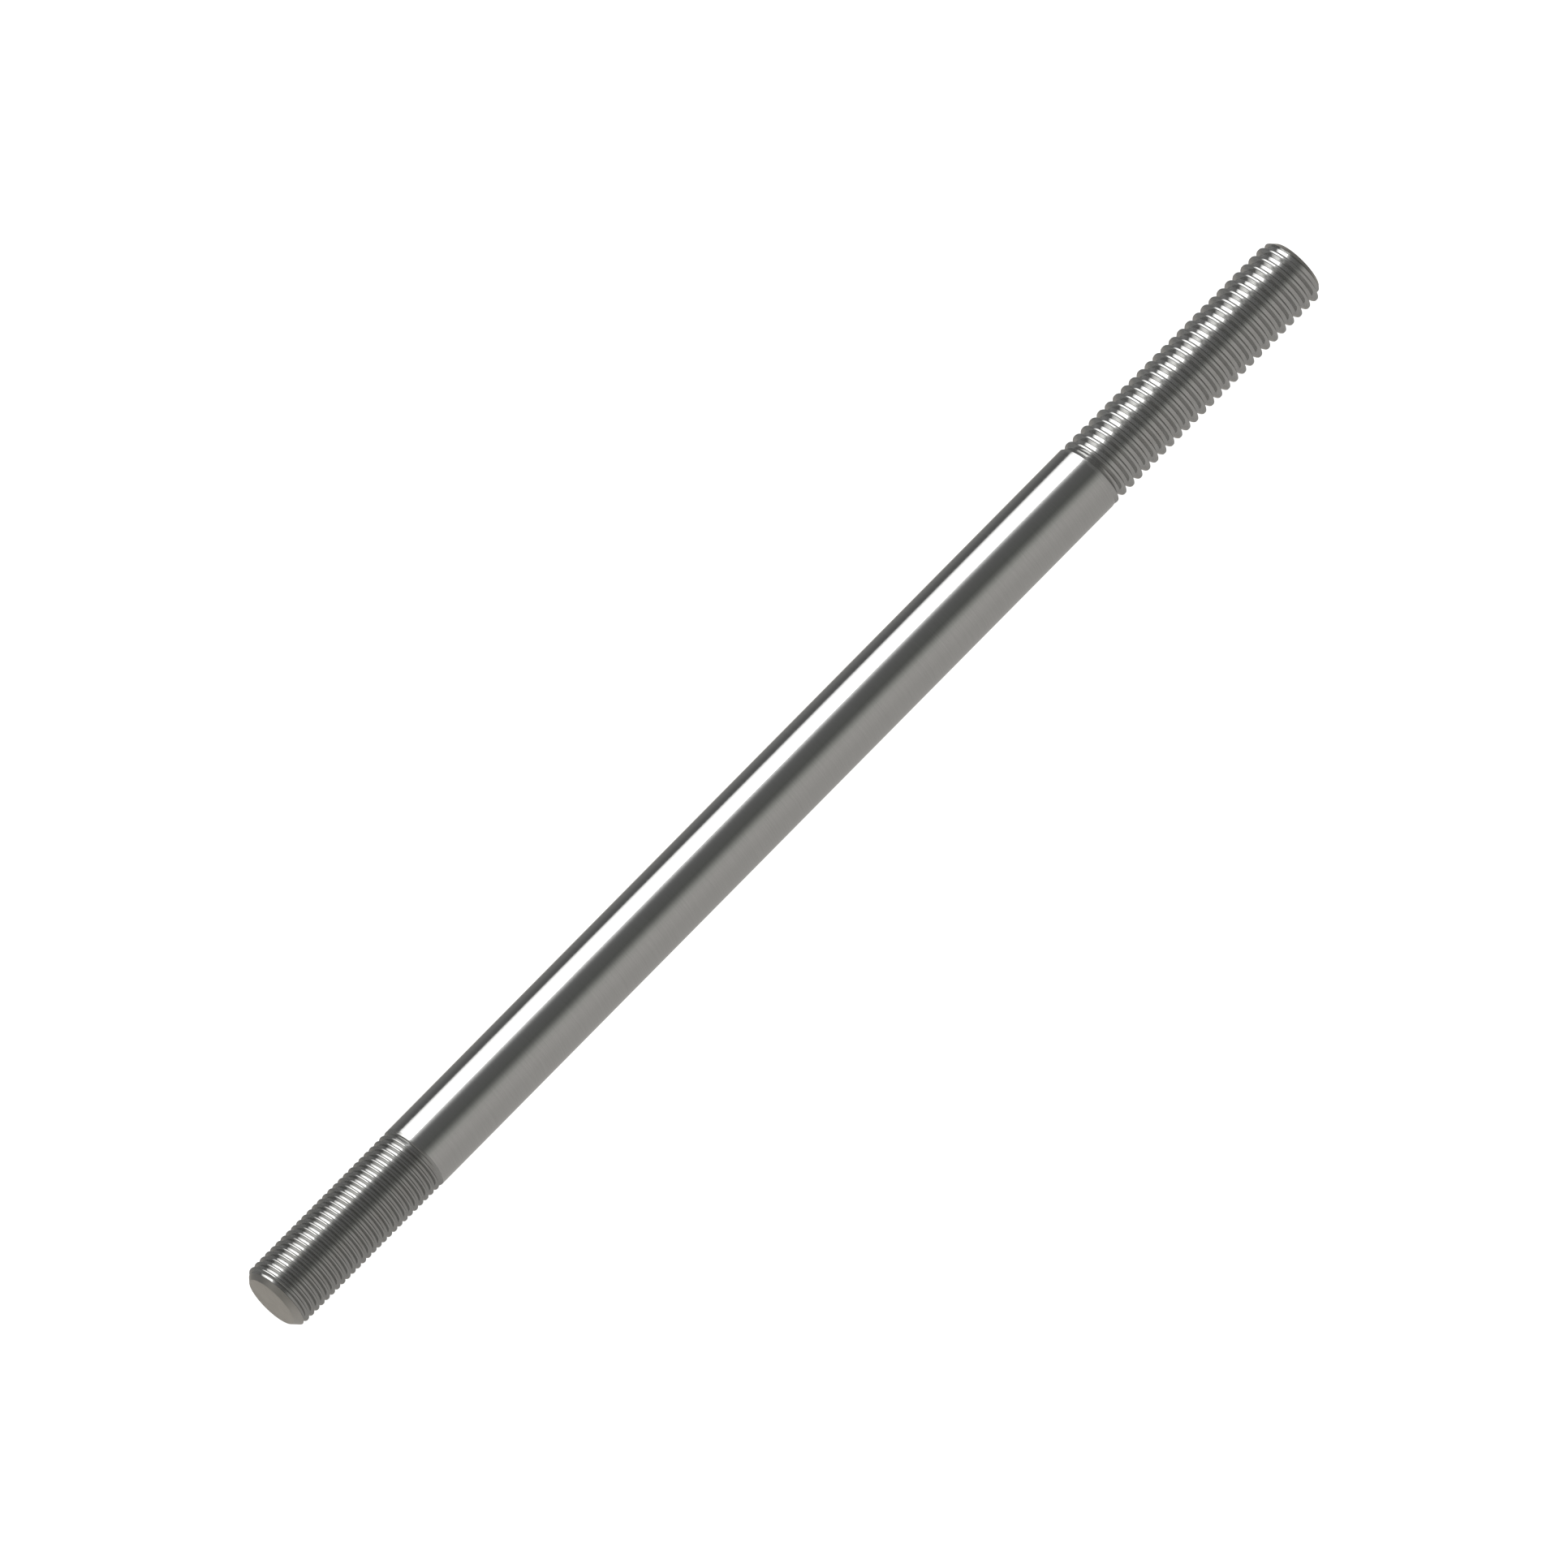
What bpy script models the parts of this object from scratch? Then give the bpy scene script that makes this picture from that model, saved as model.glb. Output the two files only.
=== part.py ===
"""Double-end stud, 1/2-13 UNC by 1/2-20 UNF, made in one piece from a steel bar.

The bar lies along X with its middle at the origin. Its coarse thread is at +X and its fine thread at -X.
Both threads are right-hand and as large as the plain shank between them. Each end has a 45 degree chamfer
and a flat face.
"""

import math

import bmesh
import bpy
from mathutils import Matrix

INCH = 0.0254

# Driving dimensions, in metres
LENGTH = 9.875 * INCH
MAJOR_DIAMETER = 0.5 * INCH
COARSE_PITCH = INCH / 13
FINE_PITCH = INCH / 20
COARSE_THREAD_LENGTH = 0.0516
FINE_THREAD_LENGTH = 0.0352
END_CHAMFER = 0.00132

# Unified basic thread form, as fractions of the pitch, with its flanks' angle to the plane across the bar
CREST_FLAT = 1 / 8
THREAD_DEPTH = 0.5413
FLANK_ANGLE = math.radians(30)

# Turns over which a groove fades out into the shank, and turns swept below the shank's edge to hold that fade
RUNOUT_TURNS = 1.0
RUN_IN_TURNS = 2.0

# Sides per turn, and the angle between faces above which an edge stays sharp
SIDES = 24
SHARP_ANGLE = math.radians(28)

# Surplus length that the blank trims off, and the gaps within which points are joined
TRIM = 0.0005
WELD = 1e-6
SLIVER = 1e-5

STEEL = (0.56, 0.55, 0.53, 1.0)
STEEL_ROUGHNESS = 0.22

RADIUS = MAJOR_DIAMETER / 2


def clear_scene():
    for obj in list(bpy.data.objects):
        bpy.data.objects.remove(obj, do_unlink=True)


def new_collection(name):
    collection = bpy.data.collections.new(name)
    bpy.context.scene.collection.children.link(collection)
    return collection


def steel_material():
    material = bpy.data.materials.new("polished_steel")
    material.use_nodes = True
    shader = material.node_tree.nodes["Principled BSDF"]
    shader.inputs["Base Color"].default_value = STEEL
    shader.inputs["Metallic"].default_value = 1.0
    shader.inputs["Roughness"].default_value = STEEL_ROUGHNESS
    return material


def outline_object(name, points, collection):
    """An object whose mesh is the open outline through (radius, height) points."""
    mesh = bpy.data.meshes.new(name)
    edges = [(i, i + 1) for i in range(len(points) - 1)]
    mesh.from_pydata([(radius, 0, height) for radius, height in points], edges, [])
    obj = bpy.data.objects.new(name, mesh)
    collection.objects.link(obj)
    return obj


def add_screw(obj, rise=0.0, turns=1):
    """Sweep the outline round Z, climbing by rise in each of its turns."""
    screw = obj.modifiers.new("Screw", "SCREW")
    screw.axis = "Z"
    screw.angle = math.tau
    screw.steps = SIDES
    screw.render_steps = SIDES
    screw.screw_offset = rise
    screw.iterations = turns
    screw.use_merge_vertices = rise == 0
    screw.merge_threshold = WELD
    screw.use_smooth_shade = True


def pitch_outline(pitch, base):
    """One pitch of the thread from base up: half a crest, a groove and half a crest, listed top down."""
    crest = CREST_FLAT * pitch / 2
    depth = THREAD_DEPTH * pitch
    flank = depth * math.tan(FLANK_ANGLE)
    root = pitch / 2 - crest - flank
    middle = base + pitch / 2
    return [
        (RADIUS, base + pitch + crest),
        (RADIUS, base + pitch - crest),
        (RADIUS - depth, middle + root),
        (RADIUS - depth, middle - root),
        (RADIUS, base + crest),
    ]


def swept_thread(pitch, base, turns, collection):
    """The thread's surface alone, as a mesh: one pitch swept along its helix and welded turn to turn."""
    sweep = outline_object("thread_sweep", pitch_outline(pitch, base), collection)
    add_screw(sweep, rise=pitch, turns=turns)
    depsgraph = bpy.context.evaluated_depsgraph_get()
    mesh = bpy.data.meshes.new_from_object(sweep.evaluated_get(depsgraph))
    bpy.data.objects.remove(sweep)
    return mesh


def fade_groove(bm, pitch, shank_edge):
    """Lift the groove out to the full radius over its last turns before the shank."""
    runout = RUNOUT_TURNS * pitch
    for vertex in bm.verts:
        radius = math.hypot(vertex.co.x, vertex.co.y)
        share = min(max((vertex.co.z - shank_edge) / runout, 0.0), 1.0)
        wanted = RADIUS - (RADIUS - radius) * share
        vertex.co.x *= wanted / radius
        vertex.co.y *= wanted / radius


def cut_off(bm, height, keep_below):
    """Cut the mesh square at a height and drop what is beyond it."""
    bmesh.ops.bisect_plane(
        bm,
        geom=bm.verts[:] + bm.edges[:] + bm.faces[:],
        dist=WELD,
        plane_co=(0, 0, height),
        plane_no=(0, 0, 1),
        clear_outer=keep_below,
        clear_inner=not keep_below,
    )


def threaded_end(pitch, thread_length, collection):
    """One end of the bar, pointing up Z: closed just past its face, and open where the shank begins."""
    face = LENGTH / 2
    shank_edge = face - thread_length
    open_end = shank_edge - pitch / 2
    base = shank_edge - RUN_IN_TURNS * pitch
    turns = math.ceil((face + TRIM - base) / pitch) + 1

    bm = bmesh.new()
    bm.from_mesh(swept_thread(pitch, base, turns, collection))
    bmesh.ops.remove_doubles(bm, verts=bm.verts, dist=WELD)
    fade_groove(bm, pitch, shank_edge)
    cut_off(bm, face + TRIM, keep_below=True)
    rim = [edge for edge in bm.edges if edge.is_boundary and min(v.co.z for v in edge.verts) > face]
    bmesh.ops.contextual_create(bm, geom=rim)
    cut_off(bm, open_end, keep_below=False)
    mesh = bpy.data.meshes.new("threaded_end")
    bm.to_mesh(mesh)
    bm.free()
    return mesh


def threaded_bar(collection):
    """Both threaded ends with the shank bridged between them: a closed bar, a little longer than the stud."""
    coarse = threaded_end(COARSE_PITCH, COARSE_THREAD_LENGTH, collection)
    fine = threaded_end(FINE_PITCH, FINE_THREAD_LENGTH, collection)
    fine.transform(Matrix.Rotation(math.pi, 4, "X"))

    bm = bmesh.new()
    bm.from_mesh(coarse)
    bm.from_mesh(fine)
    bmesh.ops.bridge_loops(bm, edges=[edge for edge in bm.edges if edge.is_boundary])
    bmesh.ops.recalc_face_normals(bm, faces=bm.faces)
    mesh = bpy.data.meshes.new("double_end_stud")
    bm.to_mesh(mesh)
    bm.free()
    return mesh


def chamfered_blank(collection):
    """The turned envelope that squares and chamfers both ends, clear of the threads elsewhere."""
    half = LENGTH / 2
    shoulder = half - END_CHAMFER - TRIM
    outline = [
        (0, half),
        (RADIUS - END_CHAMFER, half),
        (RADIUS + TRIM, shoulder),
        (RADIUS + TRIM, -shoulder),
        (RADIUS - END_CHAMFER, -half),
        (0, -half),
    ]
    blank = outline_object("chamfered_blank", outline, collection)
    add_screw(blank)
    blank.hide_render = True
    blank.display_type = "WIRE"
    return blank


def build_stud():
    parts = new_collection("double_end_stud")
    cutters = new_collection("cutters")

    stud = bpy.data.objects.new("stud", threaded_bar(cutters))
    parts.objects.link(stud)
    stud.data.materials.append(steel_material())

    blank = chamfered_blank(cutters)
    trim = stud.modifiers.new("Square and chamfer ends", "BOOLEAN")
    trim.operation = "INTERSECT"
    trim.solver = "EXACT"
    trim.object = blank

    weld = stud.modifiers.new("Weld the trimmed edges", "WELD")
    weld.merge_threshold = SLIVER

    for obj in (stud, blank):
        obj.rotation_euler.y = math.pi / 2
    stud.data.shade_smooth()
    stud.data.set_sharp_from_angle(angle=SHARP_ANGLE)


clear_scene()
build_stud()
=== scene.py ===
import math

import bmesh
import bpy
from mathutils import Matrix, Vector


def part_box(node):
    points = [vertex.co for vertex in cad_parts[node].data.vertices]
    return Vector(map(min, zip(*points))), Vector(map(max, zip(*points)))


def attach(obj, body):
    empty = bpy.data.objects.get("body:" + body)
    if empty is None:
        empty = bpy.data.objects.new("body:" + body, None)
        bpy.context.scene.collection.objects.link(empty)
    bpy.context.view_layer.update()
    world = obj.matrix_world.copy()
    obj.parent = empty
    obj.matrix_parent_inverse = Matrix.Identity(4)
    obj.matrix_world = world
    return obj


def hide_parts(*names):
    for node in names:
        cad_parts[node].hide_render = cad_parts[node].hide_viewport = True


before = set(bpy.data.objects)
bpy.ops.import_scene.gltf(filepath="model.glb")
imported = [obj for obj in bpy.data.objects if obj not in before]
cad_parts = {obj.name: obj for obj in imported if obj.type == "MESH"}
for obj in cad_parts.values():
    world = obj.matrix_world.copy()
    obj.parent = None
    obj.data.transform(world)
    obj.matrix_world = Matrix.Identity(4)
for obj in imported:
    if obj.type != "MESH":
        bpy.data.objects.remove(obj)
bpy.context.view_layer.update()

# ---- Sizes, in metres, from the frame and from the stud's two standard threads ----

INCH = 0.0254
stud_low, stud_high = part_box("stud")
HALF_LENGTH = (stud_high.x - stud_low.x) / 2
RADIUS = (stud_high.z - stud_low.z) / 2
COARSE_PITCH = INCH / 13
FINE_PITCH = INCH / 20
COARSE_THREAD_LENGTH = 0.0516
FINE_THREAD_LENGTH = 0.0352
END_CHAMFER = 0.00132

# Thread form, as fractions of the pitch, and the angle from a crest's flat down to the flank
CREST_FLAT = 0.22
THREAD_DEPTH = 0.44
ROOT_RADIUS = 0.06
CREST_RADIUS = 0.09
FLANK_TURN = math.radians(64)

# Turns over which a groove fades out into the shank, and plain turns laid out before them
RUNOUT_TURNS = 1.0
RUN_IN_TURNS = 2.0

# The chamfers' slope, and the rounding between a chamfer and its end face
CHAMFER_SLOPE = math.radians(45)
EDGE_RADIUS = 0.00015

# Sides per turn, steps in each rounding, and the angle between faces above which an edge stays sharp
SEGMENTS = 108
CREST_STEPS = 3
ROOT_STEPS = 3
EDGE_STEPS = 3
SHARP_ANGLE = math.radians(32)

# The gap that is welded, how near the end a point counts as on it, and how near a side's corner, in sides
WELD = 1e-7
END_GAP = 1e-6
SIDE_GAP = 0.001

# ---- Finishes ----

# Each face of the mesh takes one of these four
SHANK, COARSE_THREAD, FINE_THREAD, TURNED = range(4)

# The shank's steel, the darker and lighter of its grinding marks, and how dull it is
SHANK_STEEL = (0.56, 0.56, 0.55)
SHANK_SHADE = (0.53, 0.53, 0.52)
SHANK_SHINE = (0.59, 0.59, 0.58)
SHANK_ROUGHNESS = 0.10
DULLEST_SHANK = 0.14
BRIGHTEST_SHANK = 0.07

# Each thread's steel, its darker and lighter marks, its stains, and the share of it that is bare metal
COARSE_FINISH = ((0.53, 0.53, 0.52), (0.50, 0.50, 0.49), (0.56, 0.56, 0.55), (0.46, 0.45, 0.43), 0.87)
FINE_FINISH = ((0.42, 0.42, 0.41), (0.39, 0.39, 0.38), (0.45, 0.45, 0.44), (0.36, 0.35, 0.33), 0.84)
THREAD_ROUGHNESS = 0.12
THREAD_ROUGHNESS_SWING = 0.03

# The color of a thread's gloss towards glancing angles, where clean steel's would be white
GLANCING_TINT = (0.65, 0.65, 0.65)

# The end faces' and chamfers' steel, and the pitch of the rings that the facing tool left
FACE_SHADE = (0.54, 0.525, 0.495)
FACE_SHINE = (0.58, 0.565, 0.535)
FACE_ROUGHNESS = 0.35
FACE_ROUGHNESS_SWING = 0.05
FACING_FEED = 0.00012

# Length round the bar and width along it, in metres, of the marks and clouds in each finish
SHANK_MARKS = (0.006, 0.00012)
SHANK_CLOUDS = (0.012, 0.008)
THREAD_MARKS = (0.004, 0.00009)
THREAD_CLOUDS = (0.003, 0.0015)
FACE_CLOUDS = (0.0015, 0.0015)
MARK_DETAIL = 3.0

# Depths of the shank's marks, the threads' marks and the facing rings
SHANK_MARK_DEPTH = 0.0000015
THREAD_MARK_DEPTH = 0.000002
FACING_DEPTH = 0.000003

# Ranges of the noise's value over which marks, clouds and stains come in
MARK_RANGE = (0.3, 0.7)
CLOUD_RANGE = (0.35, 0.65)
STAIN_RANGE = (0.45, 0.75)

# The most that the shank's clouds and the threads' stains cover of the marks
CLOUD_SHARE = 0.35

# ---- Studio ----

# Its walls round the bar: degrees from overhead towards the front, and the radiance there
STUDIO_BANDS = (
    (-180, (0.47, 0.45, 0.42)),
    (-148, (0.47, 0.45, 0.42)),
    (-136, (0.24, 0.24, 0.235)),
    (-118, (0.23, 0.23, 0.23)),
    (-100, (0.155, 0.155, 0.155)),
    (-90, (0.13, 0.13, 0.13)),
    (-40, (0.50, 0.50, 0.50)),
    (-31, (1.0, 1.0, 1.0)),
    (-25, (0.43, 0.43, 0.43)),
    (-19, (0.205, 0.205, 0.205)),
    (-13, (0.163, 0.163, 0.163)),
    (-5, (0.146, 0.146, 0.145)),
    (17, (0.124, 0.127, 0.121)),
    (25, (0.185, 0.187, 0.178)),
    (35, (0.340, 0.342, 0.325)),
    (45, (0.475, 0.470, 0.450)),
    (60, (0.500, 0.485, 0.470)),
    (95, (0.452, 0.440, 0.425)),
)

# Radiance of its walls beyond the bar's ends, and the direction cosines over which they come in
FINE_END_WALL = (0.27, 0.265, 0.25)
COARSE_END_WALL = (0.16, 0.16, 0.155)
WALL_START = 0.72
WALL_FULL = 0.90

# The camera sees white instead of those walls
WHITE = (1, 1, 1, 1)
BACKDROP_RADIANCE = 1.05

# The softbox: its angle from overhead towards the back, its distance, and how far it is past the bar's middle
SOFTBOX_TILT = math.radians(57.9)
SOFTBOX_DISTANCE = 1.5
SOFTBOX_OFFSET = 0.45

# Its length along the bar, half the angle that it spans across it, and its radiance
SOFTBOX_LENGTH = 1.0
SOFTBOX_HALF_ANGLE = math.radians(24.8)
SOFTBOX_RADIANCE = 2.8

# It is dimmer towards its lower edge: where across it that starts, and what is left at the edge
SOFTBOX_FULL = 0.56
SOFTBOX_EDGE = 0.28

# The floor glows, so that it is as white as the backdrop in a dim studio
FLOOR_SIZE = 6
FLOOR_GREY = (0.5, 0.5, 0.5)
FLOOR_ROUGHNESS = 0.9
FLOOR_GLOW = 1.0

# The camera looks from the fine end's side and from above, at these angles in degrees
VIEW_AZIMUTH = -47.43
VIEW_ELEVATION = 68.24

# The width that it takes in, and its distance, in metres
VIEW_WIDTH = 0.2596
CAMERA_DISTANCE = 1.0


# ---- The stud's mesh ----

def arc_points(radius, start, end, steps):
    """(sine, rise) of points along an arc of that radius, from one angle to another off its top."""
    angles = [start + (end - start) * i / steps for i in range(steps + 1)]
    return [(radius * math.sin(a), radius * (1 - math.cos(a))) for a in angles]


def rounded_corner(radius, half_flat, steps):
    """(x, drop) from the middle of a flat, round its edge and onto the flank."""
    start = half_flat - radius * math.tan(FLANK_TURN / 2)
    return [(start + x, drop) for x, drop in arc_points(radius, 0, FLANK_TURN, steps)]


def thread_outline(pitch):
    """(x, depth) along one pitch from crest to crest: flat crest, rounded edge, flank, root and back up."""
    depth = THREAD_DEPTH * pitch
    root_flat = (1 - CREST_FLAT - 2 * THREAD_DEPTH / math.tan(FLANK_TURN)) * pitch
    crest = rounded_corner(CREST_RADIUS * pitch, CREST_FLAT * pitch / 2, CREST_STEPS)
    root = rounded_corner(ROOT_RADIUS * pitch, root_flat / 2, ROOT_STEPS)
    down = crest + [(pitch / 2 - x, depth - rise) for x, rise in reversed(root)]
    return down + [(pitch - x, drop) for x, drop in reversed(down)]


def groove_share(x, pitch):
    """How much of its full depth the groove has at x past the shank's edge: it fades out smoothly."""
    share = min(max(x / (RUNOUT_TURNS * pitch), 0.0), 1.0)
    return share * share * (3 - 2 * share)


def unrolled_thread(pitch, length, finish):
    """The thread laid out flat: x past the shank's edge, y the angle turned as a length, z the radius."""
    outline = thread_outline(pitch)
    outline.append((outline[0][0] + pitch, outline[0][1]))
    base = -RUN_IN_TURNS * pitch
    columns = math.ceil((length - base) / pitch + 1) * SEGMENTS
    bm = bmesh.new()
    rows = []
    for i in range(columns + 1):
        turn = i / SEGMENTS
        row = []
        for offset, depth in outline:
            x = base + pitch * turn + offset
            height = RADIUS - depth * groove_share(x, pitch)
            row.append(bm.verts.new((x, math.tau * turn * RADIUS, height)))
        rows.append(row)
    for left, right in zip(rows, rows[1:]):
        for j in range(len(outline) - 1):
            face = bm.faces.new((left[j], right[j], right[j + 1], left[j + 1]))
            face.smooth = True
            face.material_index = finish if left[j].co.x > 0 else SHANK
    return bm


def split(bm, point, normal, clear_outer=False, clear_inner=False):
    """Cut the whole mesh along a plane, and drop what is on a side that is to be cleared."""
    bmesh.ops.bisect_plane(
        bm,
        geom=bm.verts[:] + bm.edges[:] + bm.faces[:],
        dist=WELD,
        plane_co=point,
        plane_no=normal,
        clear_outer=clear_outer,
        clear_inner=clear_inner,
    )


def chamfer_end(bm, length):
    """Turn the end down to a cone with a rounded front edge: sloping planes, while the thread lies flat."""
    setback = EDGE_RADIUS * math.tan(CHAMFER_SLOPE / 2)
    centre = Vector((length - EDGE_RADIUS, 0, RADIUS - END_CHAMFER - setback))
    for step in range(EDGE_STEPS, 0, -1):
        slope = CHAMFER_SLOPE * step / EDGE_STEPS
        normal = Vector((math.cos(slope), 0, math.sin(slope)))
        point = centre + normal * EDGE_RADIUS
        split(bm, point, normal)
        for face in bm.faces:
            if all((v.co - point).dot(normal) >= -WELD for v in face.verts):
                face.material_index = TURNED
        for vertex in bm.verts:
            beyond = (vertex.co - point).dot(normal)
            if beyond > 0:
                vertex.co.z -= beyond / normal.z


def roll_up(bm):
    """Wrap the flat thread round the X axis as a right-hand helix, and weld it turn to turn."""
    for vertex in bm.verts:
        angle = vertex.co.y / RADIUS
        vertex.co = (vertex.co.x, vertex.co.z * math.cos(angle), vertex.co.z * math.sin(angle))
    bmesh.ops.remove_doubles(bm, verts=bm.verts, dist=WELD)


def close_face(bm, length):
    """Close the end with its flat face, a fan of triangles round a centre point."""
    rim = [e for e in bm.edges if e.is_boundary and min(v.co.x for v in e.verts) > length - END_GAP]
    centre = bm.verts.new((length, 0, 0))
    for edge in rim:
        face = bm.faces.new((edge.verts[0], edge.verts[1], centre))
        face.material_index = TURNED


def tidy_open_rim(bm):
    """Leave one vertex per side on the open rim, so that the shank's sides run straight across."""
    step = math.tau / SEGMENTS
    extra = []
    for vertex in bm.verts:
        if vertex.is_boundary:
            turned = math.atan2(vertex.co.z, vertex.co.y) / step
            if abs(turned - round(turned)) > SIDE_GAP:
                extra.append(vertex)
    bmesh.ops.dissolve_verts(bm, verts=extra)


def threaded_end(pitch, length, finish):
    """One end of the bar, pointing along X: closed by its face, and open where the shank begins."""
    bm = unrolled_thread(pitch, length, finish)
    chamfer_end(bm, length)
    split(bm, (length, 0, 0), (1, 0, 0), clear_outer=True)
    split(bm, (-pitch / 2, 0, 0), (1, 0, 0), clear_inner=True)
    roll_up(bm)
    close_face(bm, length)
    tidy_open_rim(bm)
    bmesh.ops.translate(bm, verts=bm.verts, vec=(HALF_LENGTH - length, 0, 0))
    mesh = bpy.data.meshes.new("threaded_end")
    bm.to_mesh(mesh)
    bm.free()
    return mesh


def stud_mesh():
    """Both threaded ends, with the shank bridged between them."""
    coarse = threaded_end(COARSE_PITCH, COARSE_THREAD_LENGTH, COARSE_THREAD)
    fine = threaded_end(FINE_PITCH, FINE_THREAD_LENGTH, FINE_THREAD)
    fine.transform(Matrix.Rotation(math.pi, 4, "Z"))
    bm = bmesh.new()
    bm.from_mesh(coarse)
    bm.from_mesh(fine)
    shank = bmesh.ops.bridge_loops(bm, edges=[e for e in bm.edges if e.is_boundary])
    for face in shank["faces"]:
        face.smooth = True
        face.material_index = SHANK
    bmesh.ops.recalc_face_normals(bm, faces=bm.faces)
    mesh = bpy.data.meshes.new("stud_steel")
    bm.to_mesh(mesh)
    bm.free()
    mesh.set_sharp_from_angle(angle=SHARP_ANGLE)
    return mesh


# ---- Materials ----

def add_node(tree, kind, links=None, values=None, **settings):
    """A node with its settings, the sockets that feed its inputs, and the values of its other inputs."""
    node = tree.nodes.new(kind)
    for name, value in settings.items():
        setattr(node, name, value)
    for name, value in (values or {}).items():
        node.inputs[name].default_value = value
    for name, source in (links or {}).items():
        tree.links.new(source, node.inputs[name])
    return node


def new_steel(name, color, roughness):
    """A bare metal, and its node tree and shader, for its maker to add the surface to."""
    material = bpy.data.materials.new(name)
    material.use_nodes = True
    shader = material.node_tree.nodes["Principled BSDF"]
    shader.inputs["Base Color"].default_value = (*color, 1)
    shader.inputs["Metallic"].default_value = 1.0
    shader.inputs["Roughness"].default_value = roughness
    return material, material.node_tree, shader


def tool_marks(tree, length, width):
    """Noise drawn out round the bar: marks of that width along the axis and that length round it."""
    place = add_node(tree, "ShaderNodeTexCoord").outputs["Object"]
    drawn = add_node(
        tree,
        "ShaderNodeVectorMath",
        {0: place},
        {1: (1 / width, 1 / length, 1 / length)},
        operation="MULTIPLY",
    )
    noise = add_node(
        tree, "ShaderNodeTexNoise", {"Vector": drawn.outputs[0]}, {"Scale": 1.0, "Detail": MARK_DETAIL}
    )
    return noise.outputs["Fac"]


def spread(tree, value, start, end, low, high, smooth=False):
    """The value carried from the range start..end to low..high, and held there beyond it."""
    node = add_node(
        tree,
        "ShaderNodeMapRange",
        {"Value": value},
        {"From Min": start, "From Max": end, "To Min": low, "To Max": high},
        interpolation_type="SMOOTHSTEP" if smooth else "LINEAR",
    )
    return node.outputs[0]


def blend_colors(tree, share, first, second):
    """A color, between two that are each a color or a socket."""
    node = add_node(tree, "ShaderNodeMix", {"Factor": share}, data_type="RGBA")
    # The node repeats its sockets for each kind of value: these are the ones for colors
    for socket, color in ((node.inputs[6], first), (node.inputs[7], second)):
        if isinstance(color, tuple):
            socket.default_value = (*color, 1)
        else:
            tree.links.new(color, socket)
    return node.outputs[2]


def distance_from_axis(tree):
    """The distance of the shaded point from the bar's axis."""
    place = add_node(tree, "ShaderNodeTexCoord").outputs["Object"]
    across = add_node(
        tree, "ShaderNodeVectorMath", {0: place}, {1: (0, 1, 1)}, operation="MULTIPLY"
    )
    length = add_node(tree, "ShaderNodeVectorMath", {0: across.outputs[0]}, operation="LENGTH")
    return length.outputs["Value"]


def add_bump(tree, shader, height, depth):
    """Raise the surface where the height is 1, by that depth in metres."""
    bump = add_node(tree, "ShaderNodeBump", {"Height": height}, {"Strength": 1.0, "Distance": depth})
    tree.links.new(bump.outputs[0], shader.inputs["Normal"])


def ground_shank():
    """Fine marks round the bar from centreless grinding, on a bright surface with faint clouding."""
    material, tree, shader = new_steel("ground_shank", SHANK_STEEL, SHANK_ROUGHNESS)
    marks = tool_marks(tree, *SHANK_MARKS)
    clouds = tool_marks(tree, *SHANK_CLOUDS)
    lines = blend_colors(tree, spread(tree, marks, *MARK_RANGE, 0, 1), SHANK_SHADE, SHANK_SHINE)
    clouding = spread(tree, clouds, *CLOUD_RANGE, 0, CLOUD_SHARE)
    tree.links.new(blend_colors(tree, clouding, lines, SHANK_STEEL), shader.inputs["Base Color"])
    finish = spread(tree, marks, *MARK_RANGE, BRIGHTEST_SHANK, DULLEST_SHANK)
    tree.links.new(finish, shader.inputs["Roughness"])
    add_bump(tree, shader, marks, SHANK_MARK_DEPTH)
    return material


def rolled_thread(name, steel, shade, shine, stained, metallic):
    """Bright metal under a thin film, with marks along the groove and faint stains."""
    material, tree, shader = new_steel(name, steel, THREAD_ROUGHNESS)
    shader.inputs["Metallic"].default_value = metallic
    shader.inputs["Specular Tint"].default_value = (*GLANCING_TINT, 1)
    marks = tool_marks(tree, *THREAD_MARKS)
    clouds = tool_marks(tree, *THREAD_CLOUDS)
    streaked = blend_colors(tree, spread(tree, marks, *MARK_RANGE, 0, 1), shade, shine)
    stain = spread(tree, clouds, *STAIN_RANGE, 0, CLOUD_SHARE, smooth=True)
    tree.links.new(blend_colors(tree, stain, streaked, stained), shader.inputs["Base Color"])
    brightest = THREAD_ROUGHNESS - THREAD_ROUGHNESS_SWING
    dullest = THREAD_ROUGHNESS + THREAD_ROUGHNESS_SWING
    finish = spread(tree, clouds, *CLOUD_RANGE, brightest, dullest)
    tree.links.new(finish, shader.inputs["Roughness"])
    add_bump(tree, shader, marks, THREAD_MARK_DEPTH)
    return material


def turned_end():
    """Concentric marks from the facing tool, at its feed, on a duller face."""
    material, tree, shader = new_steel("turned_end", FACE_SHINE, FACE_ROUGHNESS)
    radius = distance_from_axis(tree)
    rings = add_node(
        tree, "ShaderNodeMath", {0: radius}, {1: math.tau / FACING_FEED}, operation="MULTIPLY"
    )
    groove = add_node(tree, "ShaderNodeMath", {0: rings.outputs[0]}, operation="SINE").outputs[0]
    clouds = tool_marks(tree, *FACE_CLOUDS)
    clouding = spread(tree, clouds, *CLOUD_RANGE, 0, 1)
    tree.links.new(blend_colors(tree, clouding, FACE_SHADE, FACE_SHINE), shader.inputs["Base Color"])
    brightest = FACE_ROUGHNESS - FACE_ROUGHNESS_SWING
    dullest = FACE_ROUGHNESS + FACE_ROUGHNESS_SWING
    tree.links.new(spread(tree, groove, -1, 1, brightest, dullest), shader.inputs["Roughness"])
    add_bump(tree, shader, groove, FACING_DEPTH)
    return material


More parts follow.
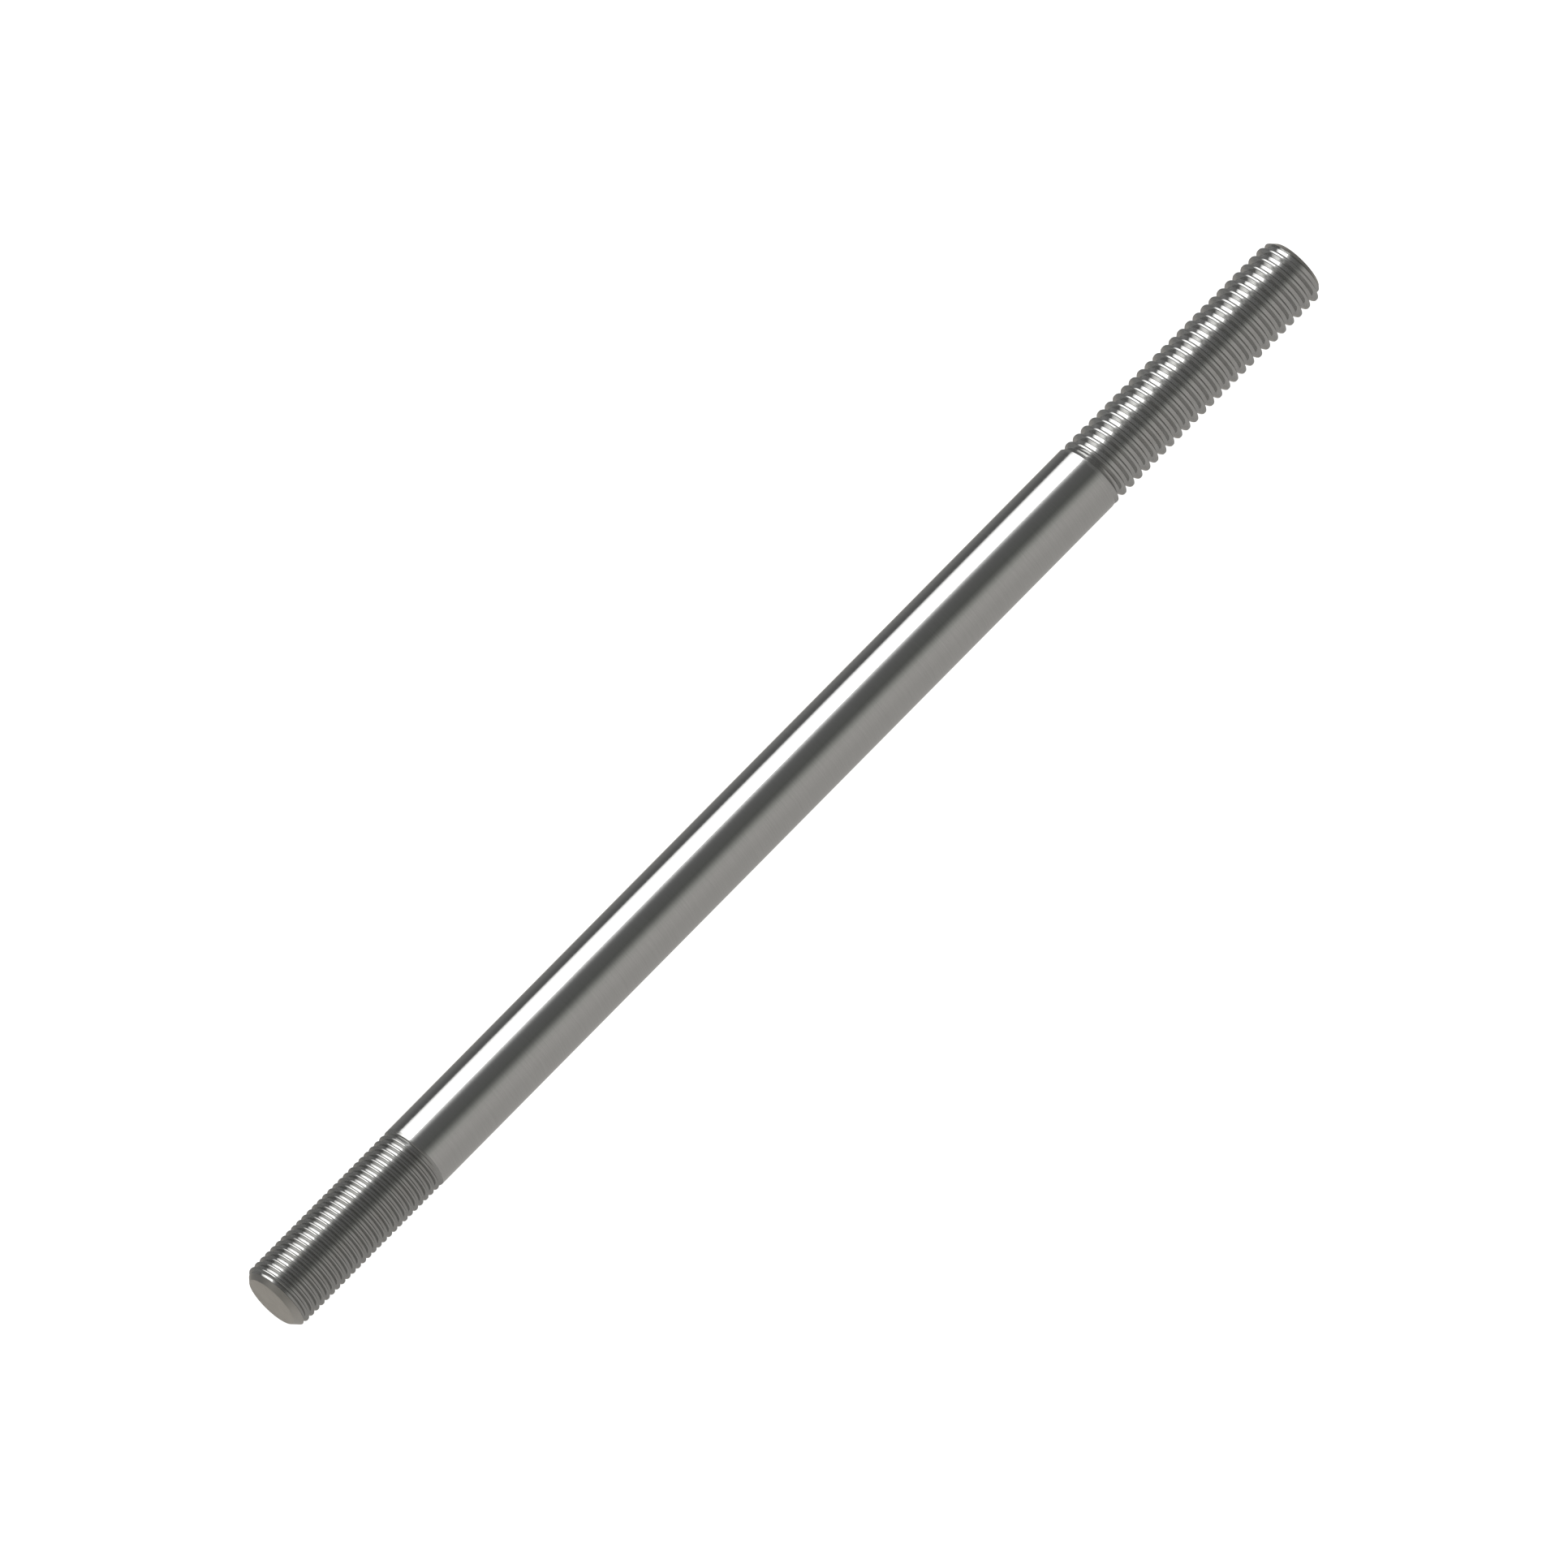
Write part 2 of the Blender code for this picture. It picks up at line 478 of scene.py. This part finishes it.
def make_stud():
    """The one visible piece, which stands for the frame's stud."""
    mesh = stud_mesh()
    mesh.materials.append(ground_shank())
    mesh.materials.append(rolled_thread("rolled_coarse_thread", *COARSE_FINISH))
    mesh.materials.append(rolled_thread("rolled_fine_thread", *FINE_FINISH))
    mesh.materials.append(turned_end())
    stud = bpy.data.objects.new("stud_steel", mesh)
    bpy.context.scene.collection.objects.link(stud)
    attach(stud, "root")
    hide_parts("stud")


# ---- Stage ----

def make_world():
    """The studio as the steel mirrors it, in bands round the bar, and the white that the camera sees."""
    world = bpy.data.worlds.new("studio")
    bpy.context.scene.world = world
    world.use_nodes = True
    tree = world.node_tree
    tree.nodes.clear()
    direction = add_node(tree, "ShaderNodeTexCoord").outputs["Generated"]
    axes = add_node(tree, "ShaderNodeSeparateXYZ", {0: direction}).outputs
    front = add_node(tree, "ShaderNodeMath", {0: axes["Y"]}, {1: -1}, operation="MULTIPLY").outputs[0]
    angle = add_node(tree, "ShaderNodeMath", {0: front, 1: axes["Z"]}, operation="ARCTAN2").outputs[0]
    turned = spread(tree, angle, -math.pi, math.pi, 0, 1)
    ramp = add_node(tree, "ShaderNodeValToRGB", {"Fac": turned})
    stops = ramp.color_ramp.elements
    while len(stops) > 1:
        stops.remove(stops[-1])
    for degrees, color in STUDIO_BANDS:
        place = (degrees + 180) / 360
        stop = stops[0] if degrees == -180 else stops.new(place)
        stop.position = place
        stop.color = (*color, 1)
    # The walls beyond the bar's two ends are one grey at every height
    radiance = ramp.outputs["Color"]
    for side, color in ((-1, FINE_END_WALL), (1, COARSE_END_WALL)):
        wall = spread(tree, axes["X"], side * WALL_START, side * WALL_FULL, 0, 1, smooth=True)
        radiance = blend_colors(tree, wall, radiance, color)
    surroundings = add_node(tree, "ShaderNodeBackground", {"Color": radiance}).outputs[0]
    backdrop_light = {"Color": WHITE, "Strength": BACKDROP_RADIANCE}
    backdrop = add_node(tree, "ShaderNodeBackground", values=backdrop_light).outputs[0]
    seen = add_node(tree, "ShaderNodeLightPath").outputs["Is Camera Ray"]
    mix = add_node(tree, "ShaderNodeMixShader", {"Fac": seen, 1: surroundings, 2: backdrop})
    add_node(tree, "ShaderNodeOutputWorld", {"Surface": mix.outputs[0]})


def make_softbox():
    """The key light: a softbox behind and above the bar, parallel to it, off towards the coarse end."""
    light = bpy.data.lights.new("softbox", "AREA")
    light.shape = "RECTANGLE"
    light.size = SOFTBOX_LENGTH
    light.size_y = 2 * SOFTBOX_DISTANCE * math.tan(SOFTBOX_HALF_ANGLE)
    light.energy = SOFTBOX_RADIANCE * math.pi * light.size * light.size_y
    light.use_nodes = True
    tree = light.node_tree
    place = add_node(tree, "ShaderNodeNewGeometry").outputs["Parametric"]
    across = add_node(tree, "ShaderNodeSeparateXYZ", {0: place}).outputs["Y"]
    fading = spread(tree, across, SOFTBOX_FULL, 1, 1, SOFTBOX_EDGE)
    tree.links.new(fading, tree.nodes["Emission"].inputs["Strength"])
    softbox = bpy.data.objects.new("softbox", light)
    softbox.location = (
        SOFTBOX_OFFSET,
        SOFTBOX_DISTANCE * math.sin(SOFTBOX_TILT),
        SOFTBOX_DISTANCE * math.cos(SOFTBOX_TILT),
    )
    softbox.rotation_euler.x = -SOFTBOX_TILT
    bpy.context.scene.collection.objects.link(softbox)
    softbox.visible_camera = False


def make_floor():
    """A plain pale floor, which the bar lies on and the steel doesn't mirror."""
    bpy.ops.mesh.primitive_plane_add(size=FLOOR_SIZE, location=(0, 0, stud_low.z))
    floor = bpy.context.object
    floor.name = "floor"
    material = bpy.data.materials.new("pale_floor")
    material.use_nodes = True
    shader = material.node_tree.nodes["Principled BSDF"]
    shader.inputs["Base Color"].default_value = (*FLOOR_GREY, 1)
    shader.inputs["Roughness"].default_value = FLOOR_ROUGHNESS
    shader.inputs["Specular IOR Level"].default_value = 0.0
    shader.inputs["Emission Color"].default_value = WHITE
    shader.inputs["Emission Strength"].default_value = FLOOR_GLOW
    floor.data.materials.append(material)
    floor.visible_glossy = False


def make_camera():
    """A camera without perspective, aimed at the origin."""
    azimuth = math.radians(VIEW_AZIMUTH)
    elevation = math.radians(VIEW_ELEVATION)
    back = Vector((
        math.sin(azimuth) * math.cos(elevation),
        -math.cos(azimuth) * math.cos(elevation),
        math.sin(elevation),
    ))
    data = bpy.data.cameras.new("camera")
    data.type = "ORTHO"
    data.ortho_scale = VIEW_WIDTH
    camera = bpy.data.objects.new("camera", data)
    camera.location = back * CAMERA_DISTANCE
    camera.rotation_mode = "QUATERNION"
    camera.rotation_quaternion = (-back).to_track_quat("-Z", "Y")
    bpy.context.scene.collection.objects.link(camera)
    bpy.context.scene.camera = camera


make_stud()
make_world()
make_softbox()
make_floor()
make_camera()
bpy.context.scene.view_settings.view_transform = "Standard"
